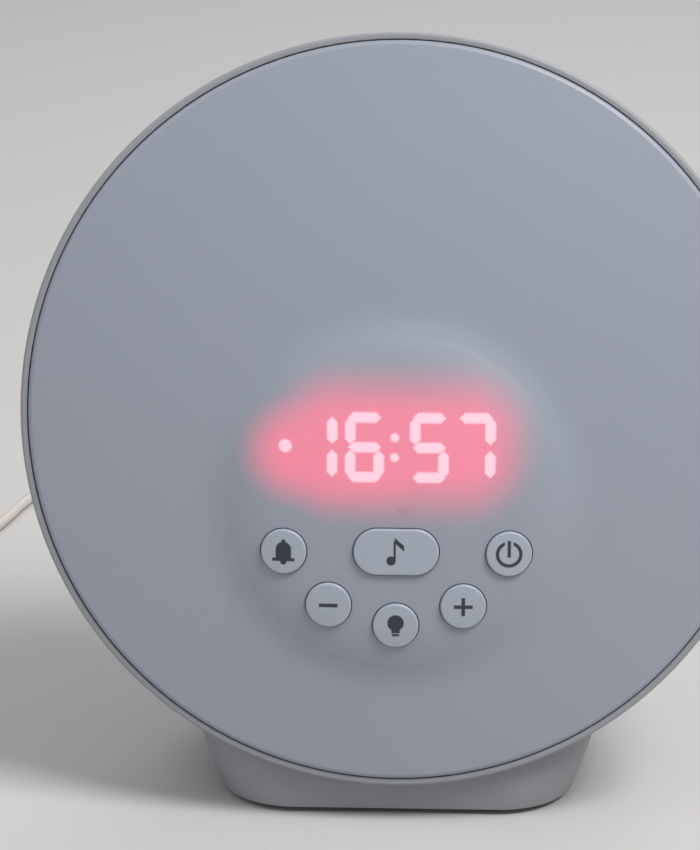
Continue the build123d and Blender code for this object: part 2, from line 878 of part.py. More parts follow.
# ---------------------------------------------------------------- speaker
with BuildPart() as speaker_gasket:
    with BuildSketch(speaker_plane.offset(-back_inside)):
        Circle(speaker_size / 2 - speaker_flange)
        Circle(speaker_opening, mode=Mode.SUBTRACT)
    extrude(amount=speaker_gasket_thickness)
    with BuildSketch(speaker_plane.offset(-back_inside)):
        with GridLocations(speaker_hole_pitch, speaker_hole_pitch, 2, 2):
            Circle(speaker_post_radius + screw_gap)
    extrude(amount=speaker_gasket_thickness, mode=Mode.SUBTRACT)
speaker_gasket.part.label = "speaker_gasket"
export_step(speaker_gasket.part, "parts/speaker_gasket.step")

with BuildPart() as speaker_frame:
    with BuildSketch(speaker_plane.offset(-speaker_back)):
        RectangleRounded(speaker_size, speaker_size, speaker_corner)
        with Locations((speaker_tab_side, -speaker_size / 2)):
            Rectangle(plug_width, speaker_tab, align=(Align.CENTER, Align.MAX))
        Circle(speaker_opening, mode=Mode.SUBTRACT)
        with GridLocations(speaker_hole_pitch, speaker_hole_pitch, 2, 2):
            Circle(screw_shank + screw_gap, mode=Mode.SUBTRACT)
    extrude(amount=speaker_flange)
    with BuildSketch(turned(speaker_plane)):
        with BuildLine():
            Polyline(
                (speaker_opening, -speaker_front),
                (speaker_opening + basket_sheet, -speaker_front),
                (magnet_radius, basket_depth - speaker_front),
                (magnet_radius - basket_sheet, basket_depth - speaker_front),
                close=True,
            )
        make_face()
    revolve(axis=Axis(speaker_plane.origin, speaker_plane.z_dir))
speaker_frame.part.label = "speaker_frame"
export_step(speaker_frame.part, "parts/speaker_frame.step")

with BuildPart() as speaker_cone:
    edge = speaker_opening - thread_gap
    with BuildSketch(turned(speaker_plane)):
        with BuildLine():
            Polyline(
                (edge, -speaker_back),
                (edge, cone_sheet - speaker_back),
                (dust_cap_radius, cone_depth - speaker_back),
                (0, cone_depth - speaker_back),
                (0, cone_depth - cone_sheet - speaker_back),
                (dust_cap_radius, cone_depth - cone_sheet - speaker_back),
                close=True,
            )
        make_face()
    revolve(axis=Axis(speaker_plane.origin, speaker_plane.z_dir))
speaker_cone.part.label = "speaker_cone"
export_step(speaker_cone.part, "parts/speaker_cone.step")

with BuildPart() as speaker_magnet:
    with BuildSketch(speaker_plane.offset(basket_depth - speaker_front)):
        Circle(magnet_radius)
    extrude(amount=magnet_depth)
speaker_magnet.part.label = "speaker_magnet"
export_step(speaker_magnet.part, "parts/speaker_magnet.step")

with BuildPart() as speaker_screws:
    half = speaker_hole_pitch / 2
    sites = both_sides(half, -half, half)
    add(screw_set(speaker_plane.offset(-speaker_front), sites, speaker_flange + speaker_bite))
speaker_screws.part.label = "speaker_screws"
export_step(speaker_screws.part, "parts/speaker_screws.step")

# ---------------------------------------------------------------- base plate, hatch and pads
with BuildPart() as base_plate:
    with BuildSketch(foot_plane):
        with Locations((0, (foot_front + foot_back) / 2)):
            inset = housing_wall + base_gap
            RectangleRounded(
                2 * (foot_half_width - inset),
                foot_back - foot_front - 2 * inset,
                foot_corner - inset,
            )
    extrude(amount=base_thickness)
    with BuildSketch(foot_plane.offset(base_thickness)):
        with Locations(*board_post_sites):
            Circle(board_post_radius)
    extrude(amount=main_board_lift)
    with BuildSketch(foot_plane.offset(base_thickness)):
        with Locations((cell_side, hatch_screw_place)):
            Circle(board_post_radius)
    extrude(amount=hatch_boss_height)
    with BuildSketch(foot_plane.offset(board_under)):
        with Locations(*board_post_sites):
            Circle(screw_shank + thread_gap)
    extrude(amount=-screw_bite, mode=Mode.SUBTRACT)
    with BuildSketch(foot_plane):
        with Locations(*pad_sites):
            Circle(pad_radius + thread_gap)
    extrude(amount=pad_recess, mode=Mode.SUBTRACT)
    with BuildSketch(foot_plane):
        with Locations(*column_sites):
            Circle(screw_head + screw_gap)
    extrude(amount=screw_pocket, mode=Mode.SUBTRACT)
    with BuildSketch(foot_plane):
        with Locations((cell_side, hatch_centre)):
            Rectangle(opening_size + 2 * hatch_lap + 2 * hatch_gap, hatch_length + 2 * hatch_gap)
    extrude(amount=hatch_thickness, mode=Mode.SUBTRACT)
    with BuildSketch(foot_plane):
        with Locations((cell_side, cell_place)):
            Rectangle(opening_size, opening_size)
        with Locations(*column_sites):
            Circle(screw_shank + screw_gap)
        with Locations((base_vent_side, cell_place)):
            with GridLocations(0, base_vent_pitch, 1, base_vent_count):
                SlotOverall(base_vent_length, vent_width)
    extrude(amount=base_thickness, mode=Mode.SUBTRACT)
    with BuildSketch(foot_plane):
        with Locations((cell_side, hatch_screw_place)):
            Circle(screw_shank + thread_gap)
    extrude(amount=hatch_thickness + hatch_boss_height, mode=Mode.SUBTRACT)
base_plate.part.label = "base_plate"
export_step(base_plate.part, "parts/base_plate.step")

with BuildPart() as battery_door:
    with BuildSketch(foot_plane):
        with Locations((cell_side, hatch_centre)):
            Rectangle(opening_size + 2 * hatch_lap, hatch_length)
        with Locations((cell_side, hatch_screw_place)):
            Circle(screw_shank + screw_gap, mode=Mode.SUBTRACT)
    extrude(amount=hatch_thickness)
    with BuildSketch(foot_plane):
        with Locations((cell_side, hatch_screw_place)):
            Circle(screw_head + screw_gap)
    extrude(amount=screw_pocket, mode=Mode.SUBTRACT)
battery_door.part.label = "battery_door"
export_step(battery_door.part, "parts/battery_door.step")

for name, site in zip(("front_left", "front_right", "back_left", "back_right"), pad_sites):
    with BuildPart() as pad:
        with BuildSketch(foot_plane.offset(-pad_height)):
            with Locations(site):
                Circle(pad_radius)
        extrude(amount=pad_height + pad_recess)
        fillet(pad.edges().group_by(Axis.Z)[0], radius=pad_round)
    pad.part.label = f"foot_pad_{name}"
    export_step(pad.part, f"parts/foot_pad_{name}.step")

with BuildPart() as base_screws:
    seat = facing_back(foot_plane.offset(screw_pocket))
    add(screw_set(seat, column_sites, base_thickness - screw_pocket + screw_bite))
    length = hatch_thickness - screw_pocket + hatch_boss_height - screw_gap
    add(screw_set(seat, [(-cell_side, hatch_screw_place)], length))
base_screws.part.label = "base_screws"
export_step(base_screws.part, "parts/base_screws.step")

# ---------------------------------------------------------------- electronics in the foot
with BuildPart() as main_board:
    with BuildSketch(foot_plane.offset(board_under)):
        with Locations((0, (main_board_front + main_board_back) / 2)):
            Rectangle(main_board_width, main_board_back - main_board_front)
        with Locations(*board_post_sites):
            Circle(screw_shank + screw_gap, mode=Mode.SUBTRACT)
    extrude(amount=board_thickness)
main_board.part.label = "main_board"
export_step(main_board.part, "parts/main_board.step")

with BuildPart() as board_screws:
    length = board_thickness + screw_bite - screw_gap
    add(screw_set(foot_plane.offset(board_top), board_post_sites, length))
board_screws.part.label = "board_screws"
export_step(board_screws.part, "parts/board_screws.step")

with BuildPart() as processor:
    with BuildSketch(foot_plane.offset(board_top)):
        with Locations((processor_side, processor_place)):
            Rectangle(processor_size, processor_size)
    extrude(amount=processor_height)
processor.part.label = "processor"
export_step(processor.part, "parts/processor.step")

with BuildPart() as power_inductor:
    with BuildSketch(foot_plane.offset(board_top)):
        with Locations((inductor_side, inductor_place)):
            RectangleRounded(inductor_size, inductor_size, inductor_size / 5)
    extrude(amount=inductor_height)
power_inductor.part.label = "power_inductor"
export_step(power_inductor.part, "parts/power_inductor.step")

with BuildPart() as capacitors:
    with BuildSketch(foot_plane.offset(board_top)):
        with Locations((capacitor_side, capacitor_place)):
            with GridLocations(capacitor_pitch, 0, 2, 1):
                Circle(capacitor_radius)
    extrude(amount=capacitor_height)
    fillet(capacitors.edges().group_by(Axis.Z)[-1], radius=screw_head_round)
capacitors.part.label = "capacitors"
export_step(capacitors.part, "parts/capacitors.step")

plug_sites = [(side * plug_pitch, plug_row) for side in (-1, 0, 1)]
with BuildPart() as cable_plugs:
    with BuildSketch(foot_plane.offset(board_top)):
        with Locations(*plug_sites):
            Rectangle(plug_width, plug_depth)
    extrude(amount=plug_height)
    with BuildSketch(face_plane.offset(-lamp_seat)):
        with Locations(lamp_plug_site):
            Rectangle(plug_width, plug_depth)
    extrude(amount=-plug_height)
    with BuildSketch(boss_plane.offset(board_back)):
        with Locations((0, -control_plug_drop)):
            Rectangle(plug_width, plug_depth)
    extrude(amount=-(tray_room + tray_wall + plug_proud))
cable_plugs.part.label = "cable_plugs"
export_step(cable_plugs.part, "parts/cable_plugs.step")

with BuildPart() as dc_socket:
    with BuildSketch(socket_plane.offset(-housing_wall)):
        with Locations((0, socket_height / 2 - socket_axis_height)):
            Rectangle(socket_width, socket_height)
    extrude(amount=-socket_depth)
    with BuildSketch(socket_plane):
        Circle(socket_nose)
    extrude(amount=-housing_wall)
    with BuildSketch(socket_plane):
        Circle(socket_bore)
    extrude(amount=-socket_bore_depth, mode=Mode.SUBTRACT)
dc_socket.part.label = "dc_socket"
export_step(dc_socket.part, "parts/dc_socket.step")

with BuildPart() as socket_pin:
    with BuildSketch(socket_plane.offset(-socket_bore_depth)):
        Circle(socket_pin_radius)
    extrude(amount=socket_bore_depth - socket_pin_radius)
socket_pin.part.label = "socket_pin"
export_step(socket_pin.part, "parts/socket_pin.step")

with BuildPart() as coin_cell_holder:
    with BuildSketch(foot_plane.offset(board_under)):
        with Locations((cell_side, cell_place)):
            Rectangle(holder_size, holder_size)
    extrude(amount=-holder_height)
    with BuildSketch(foot_plane.offset(board_under - holder_height)):
        with Locations((cell_side, cell_place)):
            Circle(cell_radius + thread_gap)
    extrude(amount=cell_thickness + cell_recess, mode=Mode.SUBTRACT)
coin_cell_holder.part.label = "coin_cell_holder"
export_step(coin_cell_holder.part, "parts/coin_cell_holder.step")

with BuildPart() as coin_cell:
    with BuildSketch(foot_plane.offset(board_under - holder_height + cell_recess)):
        with Locations((cell_side, cell_place)):
            Circle(cell_radius)
    extrude(amount=cell_thickness)
    fillet(coin_cell.edges().group_by(Axis.Z)[0], radius=screw_head_round)
coin_cell.part.label = "coin_cell"
export_step(coin_cell.part, "parts/coin_cell.step")


# ---------------------------------------------------------------- cables inside
def above_plug(site, height):
    """A point over one of the main board's plugs."""
    return (site[0], face_y + site[1], pad_height + board_top + height)


lamp_plug_under = face_plane.from_local_coords(
    (
        lamp_plug_site[0],
        lamp_plug_site[1] - plug_depth / 2 - screw_gap,
        -lamp_seat - plug_height / 2,
    )
)
with BuildPart() as lamp_cable:
    add(
        cable(
            [
                above_plug(plug_sites[0], plug_height),
                above_plug(plug_sites[0], 0.55 * (lamp_plug_under.Z - pad_height - board_top)),
                lamp_plug_under,
            ],
            cable_radius,
        )
    )
lamp_cable.part.label = "lamp_cable"
export_step(lamp_cable.part, "parts/lamp_cable.step")

with BuildPart() as control_cable:
    _, passage_y = passage
    add(
        cable(
            [
                above_plug(plug_sites[1], plug_height),
                above_plug(plug_sites[1], cable_rise),
                face_plane.from_local_coords(
                    (0, passage_y - cable_dip, -spreader_back - cable_bow / 2)
                ),
                face_plane.from_local_coords(
                    (0, passage_y - cable_dip / 2, -spreader_back - cable_bow)
                ),
                face_plane.from_local_coords((0, passage_y, -spreader_back - 0.8 * cable_bow)),
                control_plug_back - face_plane.z_dir * thread_gap,
            ],
            cable_radius,
        )
    )
control_cable.part.label = "control_cable"
export_step(control_cable.part, "parts/control_cable.step")

with BuildPart() as speaker_cable:
    tab_end = speaker_plane.from_local_coords(
        (speaker_tab_side, -speaker_size / 2 - speaker_tab, cable_radius - speaker_back)
    )
    add(
        cable(
            [
                above_plug(plug_sites[2], plug_height),
                above_plug(plug_sites[2], cable_rise),
                tab_end + Vector(cable_radius, -plug_depth, -speaker_cable_dip),
                tab_end - face_plane.y_dir * speaker_cable_dip / 2,
                tab_end,
            ],
            cable_radius,
        )
    )
speaker_cable.part.label = "speaker_cable"
export_step(speaker_cable.part, "parts/speaker_cable.step")

# ---------------------------------------------------------------- power lead
with BuildPart() as power_plug:
    with BuildSketch(socket_plane):
        Circle(plug_radius)
    extrude(amount=plug_length)
    fillet(power_plug.edges(), radius=plug_round)
    with BuildSketch(socket_plane):
        Circle(barrel_radius)
    extrude(amount=-barrel_length)
    with BuildSketch(socket_plane.offset(-barrel_length)):
        Circle(barrel_bore)
    extrude(amount=barrel_length, mode=Mode.SUBTRACT)
power_plug.part.label = "power_plug"
export_step(power_plug.part, "parts/power_plug.step")

with BuildPart() as cord_relief:
    with BuildSketch(socket_plane.offset(plug_length)):
        Circle(relief_radius)
    with BuildSketch(socket_plane.offset(plug_length + relief_length)):
        Circle(relief_tip)
    loft()
cord_relief.part.label = "cord_relief"
export_step(cord_relief.part, "parts/cord_relief.step")

# From the plug the cord drops to the table, goes round behind the clock and comes forward on the
# left to the coil.
cord_start = socket_plane.from_local_coords((0, 0, plug_length + relief_length))
cord_low = cord_diameter / 2 + 0.1
cord_route = [
    cord_start,
    cord_start + Vector(0, 17, 0),
    (-15, 110, 9.5),
    (-17.5, 131, 3.0),
    (-22, 156, cord_low),
    (-35, 183, cord_low),
    (-58, 202, cord_low),
    (-84, 206, cord_low),
    (-105, 196, cord_low),
    (-114.5, 177, cord_low),
    (-120.5, 154, cord_low),
    (-129, 131, cord_low),
    (-134.6, 107, cord_low + coil_lift),
]
with BuildPart() as power_cord:
    add(cable(cord_route, cord_diameter / 2))
power_cord.part.label = "power_cord"
export_step(power_cord.part, "parts/power_cord.step")

# The other end leaves the coil over its top.
coil_top = coil_lift + coil_height
tail_route = [
    (-168.6, 91, coil_top - 1.0),
    (-170.9, 104, coil_top + 0.6),
    (-171.0, 114, coil_top - 2.2),
    (usb_x, usb_y + 0.5, usb_height / 2),
]
with BuildPart() as cord_tail:
    add(cable(tail_route, cord_diameter / 2))
cord_tail.part.label = "cord_tail"
export_step(cord_tail.part, "parts/cord_tail.step")

coil_axis = Axis((coil_x, coil_y, 0), (0, 0, 1))


def coil_section(angle):
    """The upright half plane through the coil's axis at this angle."""
    across, away = cos(radians(angle)), sin(radians(angle))
    return Plane((coil_x, coil_y, 0), x_dir=(across, away, 0), z_dir=(away, -across, 0))


def draw_bundle(grow):
    """Draw the section of the wound turns, grown all round, in the sketch that is open."""
    with Locations((coil_radius, coil_lift + coil_height / 2)):
        RectangleRounded(coil_width + 2 * grow, coil_height + 2 * grow, coil_round + grow)


with BuildPart() as cord_coil:
    with BuildSketch(coil_section(0)):
        draw_bundle(0)
    revolve(axis=coil_axis)
cord_coil.part.label = "cord_coil"
export_step(cord_coil.part, "parts/cord_coil.step")

with BuildPart() as coil_tie:
    with BuildSketch(coil_section(270 - tie_arc / 2)) as band:
        draw_bundle(tie_thickness)
        with Locations((coil_radius, coil_lift + coil_height / 2)):
            RectangleRounded(coil_width, coil_height, coil_round, mode=Mode.SUBTRACT)
    revolve(axis=coil_axis, revolution_arc=tie_arc)
coil_tie.part.label = "coil_tie"
export_step(coil_tie.part, "parts/coil_tie.step")

usb_plane = Plane((usb_x, usb_y, usb_height / 2), x_dir=(-1, 0, 0), z_dir=(0, 1, 0))
with BuildPart() as usb_plug:
    with BuildSketch(usb_plane):
        RectangleRounded(usb_width, usb_height, usb_round)
    extrude(amount=usb_length)
usb_plug.part.label = "usb_plug"
export_step(usb_plug.part, "parts/usb_plug.step")

with BuildPart() as usb_shell:
    with BuildSketch(usb_plane.offset(usb_length)):
        Rectangle(usb_shell_width, usb_shell_height)
    extrude(amount=usb_shell_length)
    with BuildSketch(usb_plane.offset(usb_length + usb_shell_length)):
        with Locations((0, usb_shell_height / 4)):
            Rectangle(
                usb_shell_width - 2 * usb_shell_wall, usb_shell_height / 2 - usb_shell_wall
            )
    extrude(amount=-usb_shell_length + usb_shell_wall, mode=Mode.SUBTRACT)
usb_shell.part.label = "usb_shell"
export_step(usb_shell.part, "parts/usb_shell.step")
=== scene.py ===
from math import asin, cos, pi, radians, sin

import bpy
from bpy.props import FloatProperty, FloatVectorProperty, IntProperty, PointerProperty, StringProperty
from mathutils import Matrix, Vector


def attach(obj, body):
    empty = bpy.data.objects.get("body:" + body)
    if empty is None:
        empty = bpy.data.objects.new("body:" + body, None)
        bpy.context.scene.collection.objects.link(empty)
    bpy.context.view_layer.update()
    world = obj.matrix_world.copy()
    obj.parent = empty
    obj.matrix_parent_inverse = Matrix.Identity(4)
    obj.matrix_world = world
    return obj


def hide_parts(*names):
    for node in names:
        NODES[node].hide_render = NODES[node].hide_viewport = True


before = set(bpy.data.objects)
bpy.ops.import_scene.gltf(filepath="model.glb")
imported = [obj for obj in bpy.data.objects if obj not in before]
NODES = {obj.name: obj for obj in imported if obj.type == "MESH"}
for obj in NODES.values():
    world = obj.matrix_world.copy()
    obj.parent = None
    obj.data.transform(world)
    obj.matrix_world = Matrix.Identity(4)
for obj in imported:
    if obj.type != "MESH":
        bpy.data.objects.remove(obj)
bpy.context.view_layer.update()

bl_info = {
    "name": "Sunrise Alarm Clock",
    "version": (1, 0, 0),
    "blender": (4, 5, 0),
    "location": "View3D > Sidebar > Alarm Clock",
    "description": "Dresses the solids of a round sunrise alarm clock and sets up its stage",
    "category": "Object",
}

MM = 0.001
ROUND_SIDES = 48  # of a turned piece
RIGHT = Vector((1, 0, 0))

# ---------------------------------------------------------------- places shared with the solids
FACE_TILT = radians(11.0)
FACE_CENTRE = Vector((0.0, -0.022009, 0.092938))
DOME_RADIUS = 0.510
DOME_APEX = 0.0075
BOSS_DROP = 0.019
BOSS_TILT = FACE_TILT - asin(BOSS_DROP / DOME_RADIUS)
BOSS_UP = Vector((0, sin(BOSS_TILT), cos(BOSS_TILT)))
BOSS_CENTRE = FACE_CENTRE + Vector(
    (
        0,
        (DOME_RADIUS - DOME_APEX) * cos(FACE_TILT) - DOME_RADIUS * cos(BOSS_TILT),
        (DOME_APEX - DOME_RADIUS) * sin(FACE_TILT) + DOME_RADIUS * sin(BOSS_TILT),
    )
)
# On the boss, in millimetres and degrees.
DISPLAY_RISE = 13.1
BUTTON_RING = 27.2
BUTTON_STEP = 33.5
SNOOZE_DROP = 10.3
CROWN_POLE = 7.0
# Along the lead, in metres.
SOCKET = Vector((-0.014, 0.034991, 0.0186))
LEAD_START = SOCKET + Vector((0, 0.038, 0))
COIL_CENTRE = Vector((-0.152, 0.100, 0.0))
USB_BACK = Vector((-0.1695, 0.124, 0.004))

# ---------------------------------------------------------------- the display, in millimetres
LIT_SEGMENTS = {
    "0": "abcdef", "1": "bc", "2": "abdeg", "3": "abcdg", "4": "bcfg",
    "5": "acdfg", "6": "acdefg", "7": "abc", "8": "abcdefg", "9": "abcdfg",
}
COLON = (-0.5, 2.2)  # across from the middle, and up and down
ALARM_DOT = (-24.7, 0)
GLOW_MIDDLE, GLOW_HALF, GLOW_FADE = (1.2, 0.6), (13.5, 1.5), (3.5, 18.5)
TONGUE_MIDDLE, TONGUE_HALF, TONGUE_FADE = (-14.0, -1.2), 9.0, (2.0, 14.0)

# ---------------------------------------------------------------- the view, in pixels
VIEW_HEIGHT = 850
VIEW_SCALE = 4.46  # pixels to a millimetre at the face
VIEW_SHIFT = Vector((-48.0, 0, -11.3))  # from the face's centre to the view's
SENSOR_HEIGHT = 24.0  # in millimetres


def tone(red, green, blue):
    """A colour given in 0 to 255 display values, as the linear colour that shaders use."""
    steps = [c / 255 for c in (red, green, blue)]
    return tuple(c / 12.92 if c <= 0.04045 else ((c + 0.055) / 1.055) ** 2.4 for c in steps)


# ---------------------------------------------------------------- shader writing
class Signal:
    """A shader socket that adds its own Math nodes when it is worked with."""

    def __init__(self, finish, socket):
        self.finish = finish
        self.socket = socket

    def work(self, operation, *values):
        inputs = dict(enumerate(values))
        return self.finish.node("ShaderNodeMath", {"operation": operation}, inputs)

    def __add__(self, other):
        return self.work("ADD", self, other)

    __radd__ = __add__

    def __sub__(self, other):
        return self.work("SUBTRACT", self, other)

    def __rsub__(self, other):
        return self.work("SUBTRACT", other, self)

    def __mul__(self, other):
        return self.work("MULTIPLY", self, other)

    __rmul__ = __mul__

    def __abs__(self):
        return self.work("ABSOLUTE", self)

    def least(self, other):
        return self.work("MINIMUM", self, other)

    def most(self, other):
        return self.work("MAXIMUM", self, other)

    def root(self):
        return self.work("SQRT", self)

    def eased(self, low, high):
        """0 below low and 1 above high, with a smooth rise between them."""
        settings = {"interpolation_type": "SMOOTHSTEP"}
        inputs = {"Value": self, "From Min": low, "From Max": high}
        return self.finish.node("ShaderNodeMapRange", settings, inputs)


class Finish:
    """A material under construction: its node tree, and the few nodes that every finish uses."""

    def __init__(self, name):
        self.material = bpy.data.materials.new(name)
        self.material.use_nodes = True
        self.tree = self.material.node_tree
        self.shader = self.tree.nodes["Principled BSDF"]
        self.place = self.node("ShaderNodeTexCoord", output="Object")

    def node(self, kind, settings=None, inputs=None, output=0):
        """Add a node, set it up, then give its sockets their values or links."""
        made = self.tree.nodes.new(kind)
        for key, value in (settings or {}).items():
            setattr(made, key, value)
        for key, value in (inputs or {}).items():
            self.feed(made.inputs[key], value)
        return Signal(self, made.outputs[output])

    def feed(self, socket, value):
        """Link a signal to a socket, or give the socket a plain value."""
        if isinstance(value, Signal):
            self.tree.links.new(value.socket, socket)
        elif socket.type == "RGBA":
            socket.default_value = (*value, 1)
        else:
            socket.default_value = value

    def set(self, **sockets):
        """Feed sockets of the Principled shader, with _ for a space in their names."""
        for name, value in sockets.items():
            self.feed(self.shader.inputs[name.replace("_", " ")], value)

    def fed(self, name):
        """The signal that already feeds a socket of the Principled shader."""
        return Signal(self, self.shader.inputs[name].links[0].from_socket)

    def noise(self, size, detail=2.0, stretch=None):
        """Cloudy variation between 0 and 1, with clouds of about this size in metres."""
        place = self.place
        if stretch:
            place = self.node("ShaderNodeMapping", None, {"Vector": place, "Scale": stretch})
        inputs = {"Vector": place, "Scale": 1 / size, "Detail": detail}
        return self.node("ShaderNodeTexNoise", None, inputs)

    def grains(self, size):
        """Distance to the nearest of many scattered points, for specks and pores."""
        inputs = {"Vector": self.place, "Scale": 1 / size}
        return self.node("ShaderNodeTexVoronoi", None, inputs)

    def mixed(self, factor, first, second):
        """Two colours mixed by a factor."""
        settings = {"data_type": "RGBA"}
        return self.node("ShaderNodeMix", settings, {0: factor, 6: first, 7: second}, output=2)

    def along(self, direction, origin):
        """How far a point lies along a direction from an origin, in millimetres."""
        settings = {"operation": "DOT_PRODUCT"}
        dot = self.node("ShaderNodeVectorMath", settings, {0: self.place, 1: direction}, output=1)
        return dot * 1000 - origin.dot(direction) * 1000

    def relief(self, height, depth):
        """Bump from a height between 0 and 1 that stands this deep, in metres."""
        inputs = {"Height": height, "Distance": depth, "Strength": 1.0}
        self.set(Normal=self.node("ShaderNodeBump", None, inputs))


def disc(u, v, at, radius):
    """How far outside a disc a point lies."""
    across, up = u - at[0], v - at[1]
    return (across * across + up * up).root() - radius


def bar(u, v, at, half):
    """How far outside a bar a point lies."""
    return (abs(u - at[0]) - half[0]).most(abs(v - at[1]) - half[1])


def segment(u, v, at, half_length, half_width):
    """How far outside a bar with mitred ends a point lies; the bar runs along u."""
    across, up = abs(u - at[0]), abs(v - at[1])
    return (up - half_width).most(across + up - half_length)


def joined(shapes):
    """The nearest of several shapes."""
    nearest = shapes[0]
    for shape in shapes[1:]:
        nearest = nearest.least(shape)
    return nearest


def inked(distance, softness):
    """1 inside a shape and 0 outside, with a soft edge."""
    return 1 - distance.eased(-softness, softness)


# ---------------------------------------------------------------- finishes
def moulded_plastic(name, colour, roughness=0.42, grain=0.0006, depth=0.000012, drift=0.06):
    """Injection-moulded plastic: a fine even texture and slow drifts in tone."""
    finish = Finish(name)
    cloud, fine = finish.noise(0.06, 3), finish.noise(grain, 3)
    darker = tuple(c * (1 - drift) for c in colour)
    lighter = tuple(min(1.0, c * (1 + drift)) for c in colour)
    finish.set(
        Base_Color=finish.mixed(cloud * 0.8 + fine * 0.2, darker, lighter),
        Roughness=fine * 0.12 + roughness - 0.06 + cloud * 0.04,
        IOR=1.49,
    )
    finish.relief(fine, depth)
    return finish


def lit_bars(look, u, v):
    """How far outside the lit bars, the colon and the alarm dot a point of the boss lies."""
    high, wide, line = look.digit_height, look.digit_width, look.segment_width
    column, row = (wide - line) / 2, (high - line) / 2
    # The upright bars stand off the middle, so that a 1 or a 7 shows a dark break there.
    level, upright, stand = (wide - line * 0.55) / 2, row / 2 - line * 0.12, row / 2 + line * 0.16
    shapes = []
    centres = [-look.pair_pitch / 2 - look.digit_pitch, -look.pair_pitch / 2]
    centres += [-c for c in reversed(centres)]
    for digit, centre in zip(look.shown_time.replace(":", ""), centres):
        for key, place in (("a", row), ("g", 0.0), ("d", -row)):
            if key in LIT_SEGMENTS[digit]:
                shapes.append(segment(u, v, (centre, place), level, line / 2))
        for key, across, up in (("b", 1, 1), ("c", 1, -1), ("f", -1, 1), ("e", -1, -1)):
            if key in LIT_SEGMENTS[digit]:
                at = (up * stand, centre + across * column)
                shapes.append(segment(v, u, at, upright, line / 2))
    for up in (-1, 1):
        shapes.append(disc(u, v, (COLON[0], up * COLON[1]), line * 0.42))
    shapes.append(disc(u, v, ALARM_DOT, line * 0.62))
    return joined(shapes)


def display_glow(u, v):
    """1 in a soft-edged field round the digits and in a tongue that reaches out to the dot."""
    across = (abs(u - GLOW_MIDDLE[0]) - GLOW_HALF[0]).most(0.0)
    up = (abs(v - GLOW_MIDDLE[1]) - GLOW_HALF[1]).most(0.0)
    field = (across * across + up * up).root().eased(*GLOW_FADE)
    side, rise = (abs(u - TONGUE_MIDDLE[0]) - TONGUE_HALF).most(0.0), v - TONGUE_MIDDLE[1]
    tongue = (side * side + rise * rise).root().eased(*TONGUE_FADE)
    return 1 - field * tongue


def even_pole(finish, u, v):
    """Shade the crown's pole by its flat facets, because the smoothed normals meet badly there."""
    near = inked(disc(u, v, (0, -DISPLAY_RISE), CROWN_POLE), 0.5)
    smooth = finish.node("ShaderNodeNewGeometry", output=1)
    facet = finish.node("ShaderNodeNewGeometry", output=3)
    inputs = {0: near, 4: smooth, 5: facet}
    even = finish.node("ShaderNodeMix", {"data_type": "VECTOR"}, inputs, output=1)
    bump = finish.fed("Normal").socket.node
    finish.feed(bump.inputs["Normal"], even)


def opal_face(look):
    """The satin opal face, with the lit digits and their glow painted onto its boss as pink colour
    and emission.
    """
    finish = moulded_plastic("opal_face", tuple(look.face_colour), 0.40, 0.0009, 0.000008, 0.025)
    u = finish.along(RIGHT, BOSS_CENTRE)
    v = finish.along(BOSS_UP, BOSS_CENTRE) - DISPLAY_RISE
    lit = inked(lit_bars(look, u, v), 0.35)
    mottle = finish.noise(0.0016, 1)
    glow = display_glow(u, v) * (0.94 + mottle * 0.12)
    even_pole(finish, u, v)
    # Painted glow: round the digits the face's colour is mixed toward pink and given emission, for
    # the display's red light shining through the opal plastic.
    painted_glow_veil = finish.mixed(glow * 0.55, finish.fed("Base Color"), tuple(look.painted_glow_colour))
    light = finish.mixed(glow, (0, 0, 0), tuple(look.glow_light))
    # Painted light: over each lit bar the colour is pale pink and the emission brighter, for the
    # bar's light shining through the plastic.
    finish.set(
        Base_Color=finish.mixed(lit, painted_glow_veil, tuple(look.painted_digit_colour)),
        Emission_Color=finish.mixed(lit, light, tuple(look.digit_light)),
        Emission_Strength=1.0,
    )
    return finish.material


def button_signs(u, v):
    """How far outside the six printed signs a point of the boss lies."""
    sites = {}
    for step, name in enumerate(("alarm", "minus", "light", "plus", "power")):
        angle = radians(270 + BUTTON_STEP * (step - 2))
        sites[name] = (BUTTON_RING * cos(angle), BUTTON_RING * sin(angle))

    def at(name, across=0.0, up=0.0):
        return (sites[name][0] + across, sites[name][1] + up)

    bell = joined(
        [
            disc(u, v, at("alarm", 0, 0.55), 1.75),
            bar(u, v, at("alarm", 0, -0.55), (1.75, 1.1)),
            bar(u, v, at("alarm", 0, -1.75), (2.5, 0.38)),
            disc(u, v, at("alarm", 0, -2.2), 0.72),
            disc(u, v, at("alarm", 0, 2.35), 0.5),
        ]
    )
    stroke, reach = 0.42, 2.1
    minus = bar(u, v, at("minus"), (reach, stroke))
    plus = bar(u, v, at("plus"), (reach, stroke)).least(bar(u, v, at("plus"), (stroke, reach)))
    bulb = joined(
        [
            disc(u, v, at("light", 0, 0.7), 1.85),
            bar(u, v, at("light", 0, -1.05), (0.95, 0.6)),
            bar(u, v, at("light", 0, -2.1), (0.8, 0.28)),
        ]
    )
    # The power sign's ring is open at its top, where its stroke stands.
    thin = 0.38
    ring = abs(disc(u, v, at("power"), 2.6)) - thin
    ring = ring.most(bar(u, v, at("power", 0, 2.8), (0.95, 1.3)) * -1)
    power = ring.least(bar(u, v, at("power", 0, 1.2), (thin, 1.9)))
    # The note's flag slants down to the right of its stem.
    slant = v + (u * 0.9) + SNOOZE_DROP
    note = joined(
        [
            disc(u, v, (-1.1, -SNOOZE_DROP - 1.9), 1.05),
            bar(u, v, (-0.3, -SNOOZE_DROP + 0.3), (0.26, 2.3)),
            (abs(u - 0.75) - 1.05).most(abs(slant - 2.5) - 0.62),
        ]
    )
    return joined([bell, minus, bulb, plus, power, note])


